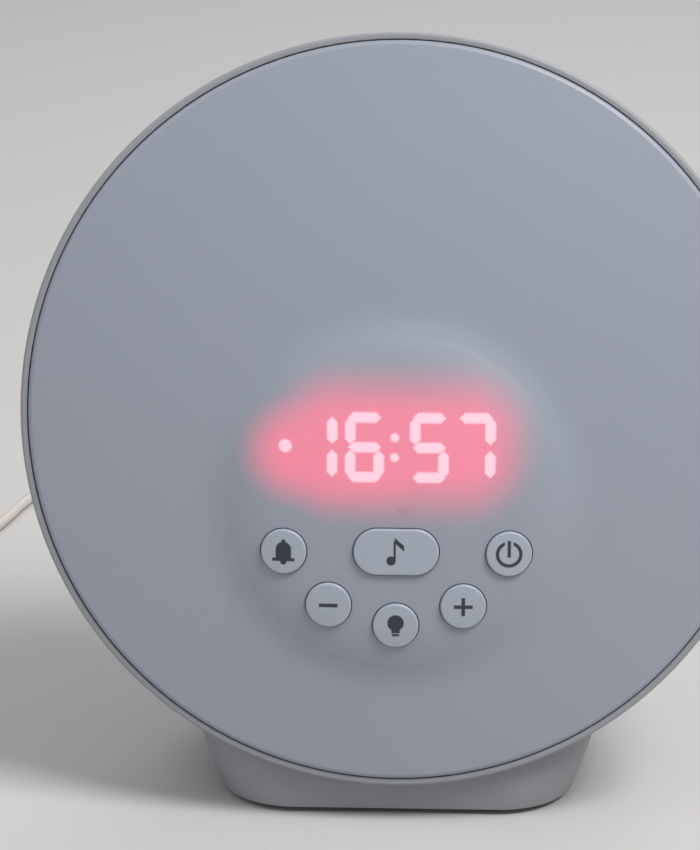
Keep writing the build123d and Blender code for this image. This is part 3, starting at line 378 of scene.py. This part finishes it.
def button_cap(look):
    """Satin cap plastic with each button's printed sign."""
    finish = moulded_plastic("button_cap", tuple(look.cap_colour), 0.38, 0.0009, 0.000006, 0.02)
    u = finish.along(RIGHT, BOSS_CENTRE)
    v = finish.along(BOSS_UP, BOSS_CENTRE)
    ink = inked(button_signs(u, v), 0.12)
    finish.set(
        Base_Color=finish.mixed(ink, finish.fed("Base Color"), tuple(look.ink_colour)),
        Roughness=finish.fed("Roughness") + ink * 0.12,
    )
    return finish.material


def plated_metal(name, colour, roughness=0.28, brushing=None):
    """Metal with faint streaks or clouding in its polish."""
    finish = Finish(name)
    streak = finish.noise(0.004, 4, brushing or (1, 1, 1))
    fine = finish.noise(0.0004, 2)
    darker = tuple(c * 0.86 for c in colour)
    finish.set(
        Base_Color=finish.mixed(streak, darker, colour),
        Metallic=1.0,
        Roughness=roughness + streak * 0.14 + fine * 0.05,
    )
    finish.relief(streak * 0.7 + fine * 0.3, 0.000008)
    return finish.material


def circuit_board(name, mask, copper):
    """Solder mask over a faint maze of tracks, with small tinned pads."""
    finish = Finish(name)
    settings = {"feature": "F1", "distance": "MANHATTAN"}
    cells = finish.node(
        "ShaderNodeTexVoronoi", settings, {"Vector": finish.place, "Scale": 260.0}
    )
    track = 1 - abs(cells - 0.55).eased(0.02, 0.07)
    pad = 1 - finish.grains(0.0052).eased(0.10, 0.14)
    cloud = finish.noise(0.02, 3)
    board = finish.mixed(track * 0.55, mask, copper)
    finish.set(
        Base_Color=finish.mixed(pad, board, (0.62, 0.62, 0.60)),
        Roughness=0.30 + cloud * 0.12 + pad * 0.1,
        Metallic=pad * 0.8,
    )
    finish.relief(track * 0.5 + pad * 0.5, 0.00004)
    return finish.material


def led_lens(name, colour, light):
    """A small chip lamp: pale case with a phosphor face."""
    finish = Finish(name)
    cloud = finish.noise(0.0012, 2)
    finish.set(
        Base_Color=finish.mixed(cloud, tuple(c * 0.9 for c in colour), colour),
        Roughness=0.22 + cloud * 0.1,
        Coat_Weight=0.4,
        Emission_Color=light,
        Emission_Strength=0.15,
    )
    return finish.material


def soft_rubber(name, colour, roughness=0.75):
    """Matte rubber with fine pores and a dusty bloom."""
    finish = Finish(name)
    bloom, pores = finish.noise(0.008, 4), finish.grains(0.0007)
    dusty = tuple(c * 1.5 + 0.01 for c in colour)
    finish.set(
        Base_Color=finish.mixed(bloom.eased(0.45, 0.8), colour, dusty),
        Roughness=roughness + bloom * 0.12,
    )
    finish.relief(pores, 0.00003)
    return finish.material


def light_guide(look):
    """Milky light guides, with a faint light of their own."""
    finish = Finish("light_guide")
    cloud = finish.noise(0.001, 2)
    finish.set(
        Base_Color=finish.mixed(cloud, (0.80, 0.55, 0.62), (0.92, 0.68, 0.74)),
        Roughness=0.3 + cloud * 0.1,
        Emission_Color=tuple(look.digit_light),
        Emission_Strength=0.3,
    )
    return finish.material


def fibre_cone(name, colour):
    """Pressed paper: short fibres in every direction."""
    finish = Finish(name)
    fibres = finish.noise(0.0006, 5, (1, 1, 4))
    finish.set(
        Base_Color=finish.mixed(fibres, tuple(c * 0.7 for c in colour), colour),
        Roughness=0.85 + fibres * 0.1,
    )
    finish.relief(fibres, 0.00008)
    return finish.material


def dressed(material, *names):
    """Give CAD nodes a material in place of the one that they came with."""
    for name in names:
        node = NODES[name]
        node.data.materials.clear()
        node.data.materials.append(material)


# ---------------------------------------------------------------- modelling helpers
def clear_choice():
    """Leave nothing selected, because the solids come in selected."""
    if bpy.context.object and bpy.context.object.mode != "OBJECT":
        bpy.ops.object.mode_set(mode="OBJECT")
    bpy.ops.object.select_all(action="DESELECT")


def settle(piece, material):
    """Finish a new piece: its place goes into its mesh, and it rides on the clock's body."""
    clear_choice()
    piece.select_set(True)
    bpy.context.view_layer.objects.active = piece
    bpy.ops.object.transform_apply(location=True, rotation=True, scale=True)
    piece.data.materials.clear()
    piece.data.materials.append(material)
    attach(piece, "body")
    piece.select_set(False)
    return piece


def turned_piece(name, start, profile):
    """A piece turned about a line along +Y: rings at (distance, radius), closed at both ends."""
    clear_choice()
    before = first = profile[0]
    bpy.ops.mesh.primitive_circle_add(
        vertices=ROUND_SIDES,
        radius=first[1],
        fill_type="NGON",
        location=start + Vector((0, first[0], 0)),
        rotation=(pi / 2, 0, 0),
    )
    piece = bpy.context.object
    piece.name = piece.data.name = name
    bpy.ops.object.transform_apply(location=True, rotation=True, scale=True)
    bpy.ops.object.mode_set(mode="EDIT")
    bpy.ops.mesh.select_all(action="SELECT")
    for distance, radius in profile[1:]:
        bpy.ops.mesh.extrude_region_move(
            TRANSFORM_OT_translate={"value": (0, distance - before[0], 0)}
        )
        size = radius / before[1]
        bpy.ops.transform.resize(
            value=(size, 1, size), center_override=start + Vector((0, distance, 0))
        )
        before = (distance, radius)
    bpy.ops.mesh.select_all(action="SELECT")
    bpy.ops.mesh.normals_make_consistent(inside=False)
    bpy.ops.object.mode_set(mode="OBJECT")
    return piece


def smooth_edges(piece, angle=35.0):
    """Smooth shading that keeps the sharp edges."""
    clear_choice()
    piece.select_set(True)
    bpy.context.view_layer.objects.active = piece
    bpy.ops.object.shade_smooth_by_angle(angle=radians(angle))


# ---------------------------------------------------------------- settings
class ClockLook(bpy.types.PropertyGroup):
    """Colours and display sizes of the clock."""

    shown_time: StringProperty(
        name="Shown Time", description="Time on the display, as HH:MM", default="16:57"
    )
    digit_height: FloatProperty(
        name="Digit Height", description="Height of a digit in millimetres", default=15.5, min=5
    )
    digit_width: FloatProperty(
        name="Digit Width", description="Width of a digit in millimetres", default=8.6, min=3
    )
    digit_pitch: FloatProperty(
        name="Digit Pitch", description="From digit to digit in millimetres", default=10.3
    )
    pair_pitch: FloatProperty(
        name="Pair Pitch", description="Across the colon in millimetres", default=14.3
    )
    segment_width: FloatProperty(
        name="Segment Width", description="Width of a lit bar in millimetres", default=2.3
    )
    face_colour: FloatVectorProperty(
        name="Face", description="Colour of the opal face", subtype="COLOR",
        default=tone(146, 152, 163),
    )
    cap_colour: FloatVectorProperty(
        name="Caps", description="Colour of the button caps", subtype="COLOR",
        default=tone(160, 167, 178),
    )
    shell_colour: FloatVectorProperty(
        name="Housing", description="Colour of the housing and foot", subtype="COLOR",
        default=tone(143, 145, 149),
    )
    ink_colour: FloatVectorProperty(
        name="Signs", description="Colour of the printed signs", subtype="COLOR",
        default=tone(44, 50, 60),
    )
    # Painted glow: the pink that the display's light gives the white opal plastic, painted into its
    # colour.
    painted_glow_colour: FloatVectorProperty(
        name="Glow Tint", description="Tint of the plastic under the glow", subtype="COLOR",
        default=tone(172, 130, 144),
    )
    glow_light: FloatVectorProperty(
        name="Glow Light", description="Light of the glow", subtype="COLOR",
        default=(0.55, 0.008, 0.055),
    )
    # Painted light: the pale pink that a lit bar's light gives the plastic over it, painted into its
    # colour.
    painted_digit_colour: FloatVectorProperty(
        name="Digit Tint", description="Tint of the plastic over a lit bar", subtype="COLOR",
        default=tone(200, 130, 150),
    )
    digit_light: FloatVectorProperty(
        name="Digit Light", description="Light of a lit bar", subtype="COLOR",
        default=(0.62, 0.43, 0.47),
    )
    lead_colour: FloatVectorProperty(
        name="Lead", description="Colour of the power lead", subtype="COLOR",
        default=tone(196, 188, 180),
    )


class ClockLead(bpy.types.PropertyGroup):
    """Sizes of the power lead."""

    diameter: FloatProperty(
        name="Diameter", description="Across the lead", default=0.003, unit="LENGTH"
    )
    coil_radius: FloatProperty(
        name="Coil Radius", description="Middle of the wound turns", default=0.0175, unit="LENGTH"
    )
    turn_points: IntProperty(
        name="Points per Turn", description="Control points in one turn", default=12, min=12
    )


class ClockStage(bpy.types.PropertyGroup):
    """The camera and the light around the clock."""

    distance: FloatProperty(
        name="Distance", description="Camera to the face", default=0.650, unit="LENGTH"
    )
    azimuth: FloatProperty(
        name="Azimuth", description="Camera round to the right", default=radians(2), subtype="ANGLE"
    )
    elevation: FloatProperty(
        name="Elevation", description="Camera above level", default=radians(18), subtype="ANGLE"
    )
    floor_colour: FloatVectorProperty(
        name="Floor", description="Colour of the floor", subtype="COLOR",
        default=tone(194, 192, 190),
    )


# ---------------------------------------------------------------- operators
class ALARMCLOCK_OT_stage(bpy.types.Operator):
    """Add the camera, the lamps, the floor and the pale surroundings."""

    bl_idname = "alarmclock.stage"
    bl_label = "Stage"

    def execute(self, context):
        stage = context.scene.clock_stage
        clear_choice()
        az, el = stage.azimuth, stage.elevation
        back = Vector((sin(az) * cos(el), -cos(az) * cos(el), sin(el)))
        target = FACE_CENTRE + VIEW_SHIFT / VIEW_SCALE * MM
        place = target + back * stage.distance
        bpy.ops.object.camera_add(
            location=place, rotation=(-back).to_track_quat("-Z", "Y").to_euler()
        )
        camera = context.object
        camera.name = "view"
        camera.data.sensor_fit = "VERTICAL"
        camera.data.sensor_height = SENSOR_HEIGHT
        camera.data.lens = VIEW_SCALE * stage.distance / MM * SENSOR_HEIGHT / VIEW_HEIGHT
        camera.data.clip_start, camera.data.clip_end = 0.01, 20.0
        context.scene.camera = camera
        lamps = (
            ("key_lamp", (0.72, -0.50, 1.30), 0.6, 21.0, (1.0, 0.99, 0.98)),
            ("fill_lamp", (-0.9, -0.5, 1.2), 1.0, 4.0, (0.95, 0.97, 1.0)),
            ("back_lamp", (0.2, 1.2, 1.1), 1.0, 6.0, (1.0, 1.0, 1.0)),
        )
        for name, spot, size, power, colour in lamps:
            aim = (FACE_CENTRE - Vector(spot)).to_track_quat("-Z", "Y").to_euler()
            bpy.ops.object.light_add(type="AREA", location=spot, rotation=aim)
            lamp = context.object
            lamp.name = name
            lamp.data.size = size
            lamp.data.energy = power
            lamp.data.color = colour
        bpy.ops.mesh.primitive_plane_add(size=8.0, location=(0, 0, 0))
        floor = context.object
        floor.name = "floor"
        finish = Finish("floor_paint")
        cloud = finish.noise(0.5, 4)
        pale = tuple(stage.floor_colour)
        finish.set(
            Base_Color=finish.mixed(cloud, tuple(c * 0.97 for c in pale), pale),
            Roughness=0.75 + cloud * 0.1,
        )
        floor.data.materials.append(finish.material)
        world = bpy.data.worlds.new("studio")
        world.use_nodes = True
        context.scene.world = world
        soft = world.node_tree.nodes["Background"]
        soft.inputs["Color"].default_value = (0.93, 0.95, 1.0, 1)
        soft.inputs["Strength"].default_value = 0.40
        context.scene.view_settings.view_transform = "Standard"
        return {"FINISHED"}


class ALARMCLOCK_OT_lead(bpy.types.Operator):
    """Lay the power lead: out of the plug, over the table, and wound into its coil."""

    bl_idname = "alarmclock.lead"
    bl_label = "Power Lead"

    def execute(self, context):
        lead, look = context.scene.clock_lead, context.scene.clock_look
        low = lead.diameter / 2 + 0.0001
        route = [
            LEAD_START,
            LEAD_START + Vector((0, 0.017, 0)),
            (-0.015, 0.110, 0.0095),
            (-0.0175, 0.131, 0.003),
            (-0.022, 0.156, low),
            (-0.035, 0.183, low),
            (-0.058, 0.202, low),
            (-0.084, 0.206, low),
            (-0.105, 0.196, low),
            (-0.1145, 0.177, low),
            (-0.119, 0.154, low),
            (-0.1265, 0.131, low),
            (-0.1305, 0.114, low + 0.0003),
        ]
        # Three layers of three turns: inwards, outwards, inwards, then out over the top.
        lanes = (1, 0, -1, -1, 0, 1, 1, 0, -1)
        turns, lane_change, lift = 8.34, 0.72, 0.0006
        step = lead.diameter * 1.01
        count = lead.turn_points
        # A smooth line runs inside its control points, so they stand a little further out.
        grow = 1 / (0.75 + 0.25 * cos(2 * pi / count))
        for index in range(1, int(turns * count) + 1):
            turn, part = divmod(index, count)
            share = max(0.0, (part / count - lane_change) / (1 - lane_change))
            after = min(turn + 1, len(lanes) - 1)
            lane = lanes[turn] + (lanes[after] - lanes[turn]) * share
            layer = turn // 3 + (after // 3 - turn // 3) * share
            radius = (lead.coil_radius + step * lane) * grow
            height = low + lift + step * layer
            angle = -2 * pi * index / count
            route.append(
                COIL_CENTRE + Vector((radius * cos(angle), radius * sin(angle), height))
            )
        # Clear of the tie, the lead climbs from the inmost turn and crosses over the others.
        top = low + lift + step * 3
        climb = (
            (-138, 0.0147, step),
            (-156, 0.0155, 0.0002),
            (-175, 0.0178, 0),
            (-190, 0.0198, 0.0004),
        )
        for angle, radius, drop in climb:
            radius, angle = radius * grow, radians(angle)
            route.append(
                COIL_CENTRE + Vector((radius * cos(angle), radius * sin(angle), top - drop))
            )
        route += [(-0.1716, 0.1085, 0.0103), (-0.1708, 0.1165, 0.0066), (-0.1695, 0.1248, 0.004)]
        curve = bpy.data.curves.new("power_lead", "CURVE")
        curve.dimensions = "3D"
        spline = curve.splines.new("NURBS")
        spline.points.add(len(route) - 1)
        for point, place in zip(spline.points, route):
            point.co = (*place, 1)
        spline.order_u = 3
        spline.use_endpoint_u = True
        spline.resolution_u = 6
        curve.bevel_depth = lead.diameter / 2
        curve.bevel_resolution = 4
        curve.use_fill_caps = True
        piece = bpy.data.objects.new("power_lead", curve)
        context.scene.collection.objects.link(piece)
        jacket = moulded_plastic(
            "lead_jacket", tuple(look.lead_colour), 0.48, 0.0012, 0.00002, 0.05
        ).material
        curve.materials.append(jacket)
        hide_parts("power_cord", "cord_coil", "cord_tail")
        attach(piece, "body")

        # The plug's finger grip and the ribbed sleeve behind it.
        body = [(-0.0006, 0.0011), (-0.0095, 0.0011), (-0.0095, 0.0025), (-0.0092, 0.0027)]
        body += [(0.0, 0.0027), (0.0, 0.0042), (0.0003, 0.0048), (0.0009, 0.0052)]
        for ring in range(4):
            at = 0.0045 + ring * 0.0036
            body += [(at, 0.0052), (at + 0.0004, 0.0048), (at + 0.0014, 0.0048)]
            body += [(at + 0.0018, 0.0052)]
        body += [(0.0190, 0.0052), (0.0197, 0.0048), (0.0200, 0.0041)]
        plug = turned_piece("plug_grip", SOCKET, body)
        smooth_edges(plug)
        settle(plug, jacket)
        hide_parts("power_plug")
        sleeve = [(0.0200, 0.0034)]
        for ring in range(6):
            at, size = 0.0209 + ring * 0.0027, 0.0034 - ring * 0.00018
            sleeve += [(at, size), (at + 0.0003, size - 0.0006), (at + 0.0011, size - 0.0006)]
            sleeve += [(at + 0.0014, size - 0.0001)]
        sleeve += [(0.0374, 0.0022), (0.0380, 0.0019)]
        relief = turned_piece("plug_sleeve", SOCKET, sleeve)
        smooth_edges(relief)
        settle(relief, jacket)
        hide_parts("cord_relief")
        return {"FINISHED"}


class ALARMCLOCK_OT_usb_end(bpy.types.Operator):
    """Model the far end of the lead: a moulded grip with a folded steel connector."""

    bl_idname = "alarmclock.usb_end"
    bl_label = "USB End"

    def execute(self, context):
        clear_choice()
        bpy.ops.mesh.primitive_cube_add(size=1, location=USB_BACK + Vector((0, 0.011, 0)))
        grip = context.object
        grip.name = grip.data.name = "usb_grip"
        grip.scale = (0.015, 0.022, 0.008)
        bpy.ops.object.transform_apply(location=True, rotation=True, scale=True)
        bpy.ops.object.mode_set(mode="EDIT")
        bpy.ops.mesh.select_all(action="SELECT")
        bpy.ops.mesh.bevel(offset=0.0018, segments=5, affect="EDGES")
        # Shallow finger panels on the two broad sides.
        bpy.ops.mesh.select_mode(type="FACE")
        bpy.ops.object.mode_set(mode="OBJECT")
        for face in grip.data.polygons:
            face.select = abs(face.normal.z) > 0.99
        bpy.ops.object.mode_set(mode="EDIT")
        bpy.ops.mesh.inset(thickness=0.0016, depth=0)
        bpy.ops.mesh.inset(thickness=0.0004, depth=-0.0004)
        bpy.ops.object.mode_set(mode="OBJECT")
        smooth_edges(grip, 40)
        settle(grip, bpy.data.materials["lead_jacket"])
        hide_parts("usb_plug")

        clear_choice()
        mouth = USB_BACK + Vector((0, 0.022, 0))
        bpy.ops.mesh.primitive_cube_add(size=1, location=mouth + Vector((0, 0.0075, 0)))
        shell = context.object
        shell.name = shell.data.name = "usb_sleeve"
        shell.scale = (0.012, 0.015, 0.0045)
        bpy.ops.object.transform_apply(location=True, rotation=True, scale=True)
        for face in shell.data.polygons:
            face.select = face.normal.y > 0.99
        bpy.ops.object.mode_set(mode="EDIT")
        bpy.ops.mesh.select_mode(type="FACE")
        bpy.ops.mesh.inset(thickness=0.0004, depth=0)
        bpy.ops.mesh.extrude_region_move(TRANSFORM_OT_translate={"value": (0, -0.0140, 0)})
        bpy.ops.object.mode_set(mode="OBJECT")
        # The tongue that carries the contacts fills the lower half of the mouth.
        bpy.ops.mesh.primitive_cube_add(
            size=1, location=mouth + Vector((0, 0.0072, -0.0009))
        )
        tongue = context.object
        tongue.name = tongue.data.name = "usb_tongue"
        tongue.scale = (0.0108, 0.0132, 0.0016)
        settle(
            tongue, moulded_plastic("tongue_plastic", tone(228, 228, 224)).material
        )
        steel = plated_metal("usb_steel", tone(205, 206, 208), 0.22, (1, 5, 1))
        settle(shell, steel)
        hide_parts("usb_shell")

        return {"FINISHED"}


class ALARMCLOCK_OT_face(bpy.types.Operator):
    """Dress the face, its buttons and the display behind it."""

    bl_idname = "alarmclock.face"
    bl_label = "Face and Buttons"

    def execute(self, context):
        look = context.scene.clock_look
        dressed(opal_face(look), "front_diffuser")
        caps = [name for name in NODES if name.endswith("_button")]
        dressed(button_cap(look), *caps)
        dressed(
            moulded_plastic("display_case", tone(30, 30, 33), 0.5).material, "display_module"
        )
        dressed(light_guide(look), "display_segments")
        switches = [name for name in NODES if name.endswith("_switch")]
        dressed(moulded_plastic("switch_body", tone(36, 36, 40), 0.45).material, *switches)
        return {"FINISHED"}


class ALARMCLOCK_OT_housing(bpy.types.Operator):
    """Dress the housing, the base and the rubber pads."""

    bl_idname = "alarmclock.housing"
    bl_label = "Housing and Foot"

    def execute(self, context):
        look = context.scene.clock_look
        shell = moulded_plastic("housing_plastic", tuple(look.shell_colour), 0.44, 0.0010, 0.00002)
        dressed(shell.material, "rear_housing")
        base = moulded_plastic("base_plastic", tone(150, 151, 152), 0.55, 0.0008, 0.00004)
        dressed(base.material, "base_plate", "battery_door")
        pads = [name for name in NODES if name.startswith("foot_pad")]
        dressed(soft_rubber("pad_rubber", tone(52, 52, 54)), *pads)
        steel = plated_metal("zinc_steel", tone(186, 188, 192), 0.30)
        dressed(steel, *[name for name in NODES if name.endswith("_screws")])
        dressed(soft_rubber("tie_rubber", tone(34, 34, 36)), "coil_tie")
        return {"FINISHED"}


class ALARMCLOCK_OT_inside(bpy.types.Operator):
    """Dress the pieces that the housing hides."""

    bl_idname = "alarmclock.inside"
    bl_label = "Inside"

    def execute(self, context):
        green = circuit_board("green_board", tone(24, 92, 58), tone(58, 130, 84))
        dressed(green, "control_board", "main_board")
        white = circuit_board("white_board", tone(228, 228, 222), tone(208, 206, 196))
        dressed(white, "lamp_board")
        nylon = moulded_plastic("plug_nylon", tone(232, 226, 206), 0.5)
        dressed(nylon.material, "cable_plugs", "coin_cell_holder")
        dressed(moulded_plastic("tray_plastic", tone(38, 38, 42), 0.6).material, "control_tray")
        gloss = moulded_plastic("reflector_gloss", tone(240, 240, 238), 0.2, 0.002, 0.000004)
        dressed(gloss.material, "reflector")
        spun = plated_metal("spreader_aluminium", tone(206, 208, 212), 0.34, (1, 1, 12))
        dressed(spun, "heat_spreader")
        dressed(led_lens("white_lamp", tone(250, 236, 168), (1.0, 0.9, 0.6)), "lamp_leds")
        dressed(led_lens("amber_lamp", tone(246, 160, 60), (1.0, 0.4, 0.08)), "sunrise_leds")
        dressed(soft_rubber("gasket_foam", tone(40, 40, 42), 0.9), "speaker_gasket")
        basket = plated_metal("basket_steel", tone(70, 70, 74), 0.45)
        dressed(basket, "speaker_frame")
        dressed(fibre_cone("cone_paper", tone(54, 52, 50)), "speaker_cone")
        magnet = plated_metal("magnet_plating", tone(120, 121, 126), 0.38)
        dressed(magnet, "speaker_magnet", "power_inductor")
        chip = moulded_plastic("chip_resin", tone(34, 34, 36), 0.5, 0.0003, 0.00001)
        dressed(chip.material, "processor", "dc_socket")
        can = plated_metal("can_aluminium", tone(196, 200, 208), 0.3, (1, 1, 6))
        dressed(can, "capacitors")
        dressed(plated_metal("contact_brass", tone(206, 172, 96), 0.25), "socket_pin")
        dressed(plated_metal("cell_steel", tone(206, 206, 208), 0.2), "coin_cell")
        wire = moulded_plastic("wire_jacket", tone(120, 120, 126), 0.45, 0.0010, 0.00002)
        dressed(wire.material, "lamp_cable", "control_cable", "speaker_cable")
        return {"FINISHED"}


class ALARMCLOCK_PT_panel(bpy.types.Panel):
    """The steps of the clock's dressing, in order."""

    bl_idname = "ALARMCLOCK_PT_panel"
    bl_label = "Sunrise Alarm Clock"
    bl_space_type = "VIEW_3D"
    bl_region_type = "UI"
    bl_category = "Alarm Clock"

    def draw(self, context):
        for step in STEPS:
            self.layout.operator(step.bl_idname)
        for group in ("clock_look", "clock_lead", "clock_stage"):
            settings = getattr(context.scene, group)
            box = self.layout.box()
            for name in settings.bl_rna.properties.keys():
                if name not in ("rna_type", "name"):
                    box.prop(settings, name)


STEPS = (
    ALARMCLOCK_OT_stage,
    ALARMCLOCK_OT_lead,
    ALARMCLOCK_OT_usb_end,
    ALARMCLOCK_OT_face,
    ALARMCLOCK_OT_housing,
    ALARMCLOCK_OT_inside,
)
GROUPS = {"clock_look": ClockLook, "clock_lead": ClockLead, "clock_stage": ClockStage}


def register():
    for name, group in GROUPS.items():
        bpy.utils.register_class(group)
        setattr(bpy.types.Scene, name, PointerProperty(type=group))
    for step in (*STEPS, ALARMCLOCK_PT_panel):
        bpy.utils.register_class(step)


def unregister():
    for step in (ALARMCLOCK_PT_panel, *reversed(STEPS)):
        bpy.utils.unregister_class(step)
    for name, group in GROUPS.items():
        delattr(bpy.types.Scene, name)
        bpy.utils.unregister_class(group)


def main():
    register()
    for step in STEPS:
        getattr(bpy.ops.alarmclock, step.bl_idname.split(".")[1])()


if __name__ == "__main__":
    main()
